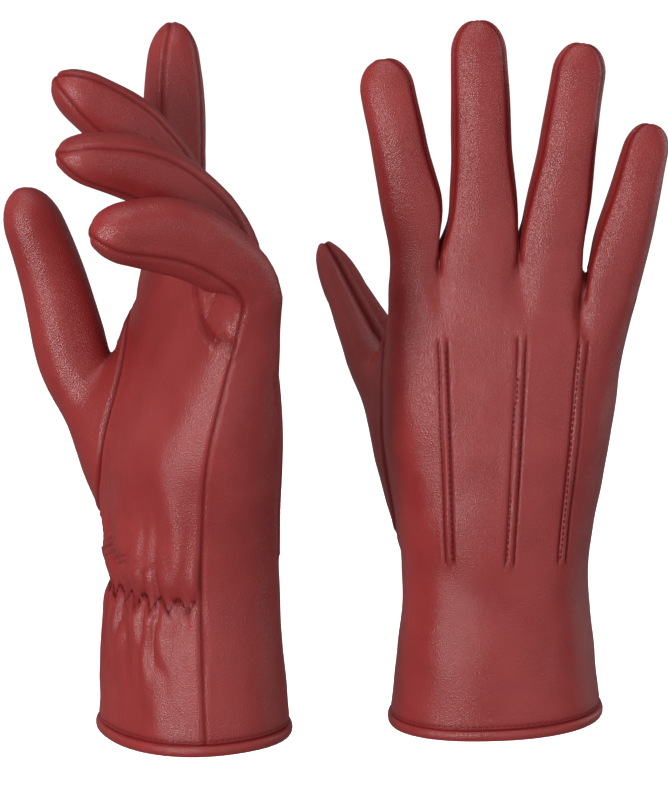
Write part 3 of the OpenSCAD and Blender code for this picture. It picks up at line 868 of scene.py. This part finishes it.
def leather_material():
    mat, bsdf = principled("leather", (0.25, 0.028, 0.026), 0.4)
    links = mat.node_tree.links
    patches = texture(mat, "ShaderNodeTexNoise", 55, Detail=3.0, Roughness=0.55)
    tone = ramp(mat, patches.outputs["Fac"],
                [(0.3, (0.2, 0.0155, 0.016)), (0.7, (0.24, 0.022, 0.022))])
    # painted shade: where the shade attribute is high, the leather's colour is mixed towards a near
    # black red
    painted_shade = mat.node_tree.nodes.new("ShaderNodeAttribute")
    painted_shade.attribute_name = "crease"
    mix = mat.node_tree.nodes.new("ShaderNodeMix")
    mix.data_type = "RGBA"
    links.new(painted_shade.outputs["Fac"], mix.inputs["Factor"])
    links.new(tone, mix.inputs["A"])
    # the colour of the painted shade in creases and grooves
    mix.inputs["B"].default_value = (0.095, 0.005, 0.006, 1)
    links.new(mix.outputs["Result"], bsdf.inputs["Base Color"])
    pebbles = texture(mat, "ShaderNodeTexVoronoi", 2400, Randomness=1.0)
    fine = texture(mat, "ShaderNodeTexNoise", 2600, Detail=1.0)
    folds = texture(mat, "ShaderNodeTexNoise", 130, Detail=4.0, Roughness=0.6)
    n1 = bump(mat, folds.outputs["Fac"], 0.06, 0.0008)
    n2 = bump(mat, pebbles.outputs["Distance"], 0.8, 0.00013, n1)
    n3 = bump(mat, fine.outputs["Fac"], 0.4, 0.0001, n2)
    links.new(n3, bsdf.inputs["Normal"])
    gloss = ramp(mat, patches.outputs["Fac"], [(0.3, grey(0.3)), (0.7, grey(0.38))])
    links.new(gloss, bsdf.inputs["Roughness"])
    # painted shade also lowers the specular reflection in the same creases and grooves
    dull = ramp(mat, painted_shade.outputs["Fac"], [(0.0, grey(0.42)), (0.7, grey(0.06))])
    links.new(dull, bsdf.inputs["Specular IOR Level"])
    return mat


def fibre_material(name, base, fibres, tones, relief, specular=0.5):
    """A matte material whose tones and relief come from one texture of its fibres."""
    mat, bsdf = principled(name, *base)
    bsdf.inputs["Specular IOR Level"].default_value = specular
    kind, scale, options = fibres
    fac = texture(mat, kind, scale, **options).outputs["Fac"]
    mat.node_tree.links.new(ramp(mat, fac, tones), bsdf.inputs["Base Color"])
    mat.node_tree.links.new(bump(mat, fac, *relief), bsdf.inputs["Normal"])
    return mat


def glove_materials():
    """Leather, lining, thread and elastic."""
    return (
        leather_material(),
        fibre_material(
            "lining", ((0.13, 0.02, 0.024), 0.95, 0.6),
            ("ShaderNodeTexNoise", 700, {"Detail": 6.0, "Roughness": 0.7}),
            [(0.3, (0.09, 0.012, 0.016)), (0.7, (0.17, 0.03, 0.034))], (0.8, 0.0006)),
        # thread: darker than the leather, partly its own colour and partly painted shade of the
        # stitch pits
        fibre_material(
            "thread", ((0.2, 0.02, 0.02), 0.7),
            ("ShaderNodeTexWave", 1500, {"Distortion": 1.0}),
            [(0.2, (0.08, 0.006, 0.007)), (0.8, (0.15, 0.013, 0.014))], (0.6, 0.0001),
            specular=0.15),
        fibre_material(
            "elastic", ((0.2, 0.05, 0.05), 0.85, 0.3),
            ("ShaderNodeTexWave", 600, {"Distortion": 0.4}),
            [(0.2, (0.14, 0.03, 0.03)), (0.8, (0.25, 0.07, 0.07))], (0.7, 0.0003)),
    )


# ------------ pieces
def placed(p, side):
    """From the right glove's frame in mm to the pair's frame in metres."""
    p = np.asarray(p, float)
    if side == "left":
        a = math.radians(LEFT_TURN)
        turn = np.array([[math.cos(a), -math.sin(a), 0], [math.sin(a), math.cos(a), 0], [0, 0, 1]])
        p = (p * [-1, 1, 1]) @ turn.T + LEFT_PLACE
    return p / 1000


def placed_way(v, side):
    """A direction turned, and on the left glove mirrored, as placed() does with points."""
    if side == "left":
        return placed(v, side) * 1000 - LEFT_PLACE
    return v


def linked(name, data):
    obj = bpy.data.objects.new(name, data)
    bpy.context.collection.objects.link(obj)
    return obj


def add_object(name, points, faces, mat, side, loop_normals=None, crease=None):
    """A mesh object from points in the right glove's frame; the left glove's faces turn over."""
    points = placed(points, side)
    if side == "left":
        faces = [f[::-1] for f in faces]
        if loop_normals is not None:
            loop_normals = [row[::-1] for row in loop_normals]
    mesh = bpy.data.meshes.new(name)
    mesh.from_pydata(points.tolist(), [], faces)
    mesh.update()
    mesh.polygons.foreach_set("use_smooth", [True] * len(mesh.polygons))
    # painted shade of creases and grooves, as a point attribute that darkens the leather's colour
    if crease is not None:
        attribute = mesh.attributes.new("crease", "FLOAT", "POINT")
        attribute.data.foreach_set("value", np.asarray(crease, np.float32))
    if loop_normals is not None:
        flat = np.array([v for row in loop_normals for v in row])
        mesh.normals_split_custom_set(unit(placed_way(flat, side)).tolist())
    mesh.materials.append(mat)
    return linked(name, mesh)


def shell(name, skin, keep, thickness, mat, side, lift=0.0):
    """The kept faces of a skin as a sheet with real thickness and closed edges."""
    faces = [skin.faces[k] for k in keep]
    ids = np.array(sorted({v for f in faces for v in f}))
    index = {v: k for k, v in enumerate(ids)}
    faces = [[index[v] for v in f] for f in faces]
    n = skin.normals[ids]
    outer = skin.points[ids] + n * lift
    inner = outer - n * thickness
    count = len(ids)
    points = np.vstack([outer, inner])
    edges = {(f[k - 1], v) for f in faces for k, v in enumerate(f)}
    rim = sorted((a, b) for a, b in edges if (b, a) not in edges)
    all_faces = faces + [[v + count for v in f[::-1]] for f in faces]
    normals = [[n[v] for v in f] for f in faces] + [[-n[v] for v in f[::-1]] for f in faces]
    for a, b in rim:
        all_faces.append([b, a, a + count, b + count])
        way = unit(np.cross(points[b] - points[a], -n[a]))
        normals.append([-way] * 4)
    # painted shade on the outer face only; none on the inner face
    crease = np.concatenate([skin.crease[ids], np.zeros(count)])
    return add_object(name, points, all_faces, mat, side, normals, crease)


def binding_ring(skin):
    """The closed ring of points at the bottom of the leather, and the way out of it at each."""
    p = skin.base_ring
    way = np.roll(p, -1, 0) - np.roll(p, 1, 0)
    out = unit(np.stack([-way[:, 1], way[:, 0], 0 * way[:, 0]], 1))
    if (out * (p - p.mean(0))).sum() < 0:
        out = -out
    return p, out


# outwards and upwards from the hem
BINDING_PROFILE = [(-0.35, 3.5), (0.2, 3.45), (0.6, 3.1), (0.85, 2.4), (0.9, 1.6), (0.75, 0.8),
                   (0.35, 0.2), (-0.4, 0.0), (-1.3, 0.1), (-1.9, 0.7), (-2.2, 1.8), (-2.2, 4.2)]


def tube_mesh(rings):
    """Quads between rings of equal size, the last ring joined to the first."""
    rows, cols = len(rings), len(rings[0])
    points = np.vstack(rings)
    faces = []
    for r in range(rows):
        q = (r + 1) % rows
        for c in range(cols):
            d = (c + 1) % cols
            faces.append([r * cols + c, r * cols + d, q * cols + d, q * cols + c])
    return points, faces


def make_binding(name, skin, mat, side):
    p, out = binding_ring(skin)
    rings = []
    for off, dz in BINDING_PROFILE:
        ring = p + out * off + np.array([0, 0, dz - BINDING - 0.1])
        rings.append(ring[::-1])
    points, faces = tube_mesh(rings)
    return add_object(name, points, faces, mat, side, None, np.zeros(len(points)))


# along half a stitch's length each way, and its radius there
STITCH_PROFILE = [(-0.5, 0.25), (-0.42, 0.75), (-0.25, 1.0), (0.25, 1.0), (0.42, 0.75), (0.5, 0.25)]
STITCH_SIDES = 6


def stitch_rods(stitches, radius):
    """One mesh of short rounded rods; each stitch is (start, end, lift direction)."""
    points, faces = [], []
    for a, b, up in stitches:
        a, b, up = np.asarray(a), np.asarray(b), unit(up)
        along = unit(b - a)
        across = unit(np.cross(along, up))
        up = np.cross(across, along)
        length = np.linalg.norm(b - a)
        start = len(points)
        for t, size in STITCH_PROFILE:
            sink = -abs(2 * t) ** 2 * radius * 0.9
            centre = (a + b) / 2 + along * t * length + up * sink
            for k in range(STITCH_SIDES):
                w = 2 * math.pi * k / STITCH_SIDES
                points.append(centre + (across * math.cos(w) + up * math.sin(w)) * radius * size)
        last = start + (len(STITCH_PROFILE) - 1) * STITCH_SIDES
        for low in range(start, last, STITCH_SIDES):
            high = low + STITCH_SIDES
            for k in range(STITCH_SIDES):
                q = (k + 1) % STITCH_SIDES
                faces.append([low + k, low + q, high + q, high + k])
        faces.append([start + k for k in range(STITCH_SIDES)][::-1])
        faces.append([last + k for k in range(STITCH_SIDES)])
    return np.array(points), faces


class Surface:
    """Finds points on the drawn leather."""

    def __init__(self, skin):
        self.tree = BVHTree.FromPolygons(skin.points.tolist(), skin.faces)

    def at(self, p):
        location, normal, _, _ = self.tree.find_nearest(Vector(p))
        return np.array(location), np.array(normal)


def stitch_line(surface, line, pitch, gap, lift):
    """Stitches of one pitch along a polyline, laid on the leather."""
    line = np.asarray(line, float)
    at = lengths_along(line)
    out = []
    s = 0.0
    while s + pitch < at[-1]:
        ends = []
        for t in (s + gap / 2, s + pitch - gap / 2):
            q = np.array([np.interp(t, at, line[:, k]) for k in range(3)])
            q, way = surface.at(q)
            ends.append(q + way * lift)
        out.append((ends[0], ends[1], way))
        s += pitch
    return out


def beside(line, normals, offset):
    """The line moved sideways over the surface."""
    line = np.asarray(line, float)
    way = np.gradient(line, axis=0)
    return line + unit(np.cross(normals, way)) * offset


# thickness of each sheet, and how far inside the leather's face the inner ones lie
LEATHER = 1.0
LINING, LINING_LIFT = 0.6, -1.25
ELASTIC, ELASTIC_LIFT, ELASTIC_HALF_WIDTH, ELASTIC_MARGIN = 0.2, -1.02, 4, 3


def build_glove(side, mats):
    skin = build_skin(POSES[side])
    shape_skin(skin)
    hb, hp = skin.parts["hb"], skin.parts["hp"]
    skin.base_ring = skin.points[list(hb[0]) + list(hp[0][-2:0:-1])].copy()
    draw_details(skin, side)
    surface = Surface(skin)
    prefix = side + "_"
    leather, lining, thread, elastic = mats

    # quirk: the leaf at the top of the thumb's opening
    grid = skin.parts["thumb"]
    size = len(grid[0])
    leaf = set()
    for m in range(QUIRK_ROWS):
        reach = int(round(QUIRK_COLUMNS * math.sin(math.pi * (m + 0.5) / QUIRK_ROWS)))
        for k in range(-reach, reach):
            a, b = k % size, (k + 1) % size
            leaf.add(frozenset((grid[m][a], grid[m][b], grid[m + 1][b], grid[m + 1][a])))
    groups = {}
    for k, f in enumerate(skin.faces):
        label = skin.labels[k]
        if label == "thumb_gusset" and frozenset(f) in leaf:
            label = "thumb_quirk"
        groups.setdefault((label, skin.bodies[k]), []).append(k)

    def joined(obj, body):
        if body == "hand":
            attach(obj, prefix + "hand")
            return
        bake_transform(obj)

    def stitched(name, stitches, radius):
        points, faces = stitch_rods(stitches, radius)
        obj = add_object(prefix + name, points, faces, thread, side)
        joined(obj, "hand")
        return obj

    for (label, body), keep in sorted(groups.items()):
        obj = shell(prefix + label, skin, keep, LEATHER, leather, side)
        joined(obj, body)
        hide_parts(prefix + label)
    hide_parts(prefix + "knuckle_leather")

    # linings follow the leather, inside it
    inner = {}
    for k, body in enumerate(skin.bodies):
        inner.setdefault(body, []).append(k)
    for body, keep in sorted(inner.items()):
        obj = shell(prefix + body + "_lining", skin, keep, LINING, lining, side, LINING_LIFT)
        joined(obj, body)
        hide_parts(prefix + body + "_lining")

    # the elastic, a band behind the zigzag
    keep = []
    for k, f in enumerate(skin.faces):
        if skin.labels[k] == "palm_panel":
            middle = skin.points[f].mean(0)
            angle = hand_angles(middle[None])[0]
            inside = GATHER_FROM - ELASTIC_MARGIN < angle < GATHER_TO + ELASTIC_MARGIN
            if inside and abs(middle[2] - WRIST_Z) < ELASTIC_HALF_WIDTH:
                keep.append(k)
    obj = shell(prefix + "elastic_band", skin, keep, ELASTIC, elastic, side, ELASTIC_LIFT)
    joined(obj, "hand")
    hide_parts(prefix + "wrist_elastic")

    binding = make_binding(prefix + "cuff_binding", skin, leather, side)
    joined(binding, "hand")
    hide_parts(prefix + "cuff_binding")

    # stitches along both sides of each raised point
    stitches = []
    for i in range(3):
        line = np.array(skin.seams["point%d" % i])
        normals = np.array([surface.at(q)[1] for q in line])
        for offset in (-POINT_STITCH_OFFSET, POINT_STITCH_OFFSET):
            row = beside(line, normals, offset)
            stitches += stitch_line(surface, row, pitch=2.0, gap=0.55, lift=0.1)
    obj = stitched("topstitching", stitches, 0.26)
    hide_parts(prefix + "topstitching")

    # zigzag over the elastic
    corners = [surface.at(hand(angle, z))[0] for angle, z in zigzag_corners()]
    stitches = []
    for a, b in zip(corners, corners[1:]):
        pitch = np.linalg.norm(b - a) / 3.02  # just over three, so that three stitches fit
        stitches += stitch_line(surface, [a, (a + b) / 2, b], pitch, gap=0.25, lift=0.08)
    obj = stitched("zigzag_stitch", stitches, 0.22)
    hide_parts(prefix + "zigzag_stitch")

    # stitches above the binding
    ring = skin.base_ring
    loop = np.vstack([ring, ring[:1]]) + np.array([0, 0, HEM_STITCH_RISE])
    stitched("hem_stitching", stitch_line(surface, loop, pitch=2.0, gap=0.6, lift=0.0), 0.17)


mats = glove_materials()
for side in ("right", "left"):
    build_glove(side, mats)

# ------------ stage, light and camera
CENTRE = Vector((-0.0547, 0, 0.1115))
PITCH = math.radians(10.5)
DISTANCE = 0.85
SENSOR, VIEW_HEIGHT = 36, 0.266  # sensor in mm, and the height seen at that distance in m
FLOOR_REACH, FLOOR_Z = 30, -0.045
LOOK = Vector((0, math.cos(PITCH), -math.sin(PITCH)))

camera = linked("camera", bpy.data.cameras.new("camera"))
camera.location = CENTRE - LOOK * DISTANCE
camera.rotation_euler = LOOK.to_track_quat("-Z", "Y").to_euler()
camera.data.lens = SENSOR * DISTANCE / VIEW_HEIGHT
bpy.context.scene.camera = camera

floor_mesh = bpy.data.meshes.new("floor")
corners = [(-1, -1), (1, -1), (1, 1), (-1, 1)]
floor_mesh.from_pydata([(x * FLOOR_REACH, y * FLOOR_REACH, FLOOR_Z) for x, y in corners],
                       [], [[0, 1, 2, 3]])
floor = linked("floor", floor_mesh)
pale, pale_bsdf = principled("pale_floor", (0.9, 0.9, 0.9), 0.9)
pale_bsdf.inputs["Emission Color"].default_value = (1, 1, 1, 1)
pale_bsdf.inputs["Emission Strength"].default_value = 0.9
floor.visible_glossy = False
floor.visible_diffuse = False
floor_mesh.materials.append(pale)

world = bpy.data.worlds.new("studio")
bpy.context.scene.world = world
world.use_nodes = True
sky = world.node_tree.nodes["Background"]
sky.inputs["Strength"].default_value = 1.0
sky_nodes, sky_links = world.node_tree.nodes, world.node_tree.links
way = sky_nodes.new("ShaderNodeTexCoord")
split = sky_nodes.new("ShaderNodeSeparateXYZ")
spread = sky_nodes.new("ShaderNodeMapRange")
spread.inputs["From Min"].default_value = -1.0
spread.inputs["From Max"].default_value = 1.0
sky_links.new(way.outputs["Generated"], split.inputs["Vector"])
sky_links.new(split.outputs["Y"], spread.inputs["Value"])
shade = ramp(world, spread.outputs["Result"], [(0.0, grey(0.42)), (0.75, grey(0.17))])
sky_links.new(shade, sky.inputs["Color"])


def softbox(name, place, target, width, height, power, glints=True):
    light = bpy.data.lights.new(name, "AREA")
    light.shape = "RECTANGLE"
    light.size, light.size_y = width, height
    light.energy = power
    obj = linked(name, light)
    obj.visible_glossy = glints
    obj.location = place
    obj.rotation_euler = (Vector(target) - Vector(place)).to_track_quat("-Z", "Y").to_euler()


MIDDLE = (-0.05, 0, 0.12)
RIGHT_GLOVE = (-0.03, 0, 0.12)
softbox("left_box", (-0.74, -1.05, 0.27), RIGHT_GLOVE, 0.16, 0.6, 13)
softbox("back_left_box", (-0.95, 0.4, 0.4), MIDDLE, 0.5, 0.7, 5, glints=False)
softbox("front_box", (0.62, -1.15, 0.27), RIGHT_GLOVE, 0.14, 0.6, 3)
softbox("rim_box", (0.9, 0.35, 0.35), MIDDLE, 0.5, 0.9, 3)
softbox("top_box", (-0.25, -0.35, 1.3), MIDDLE, 0.7, 0.7, 6)
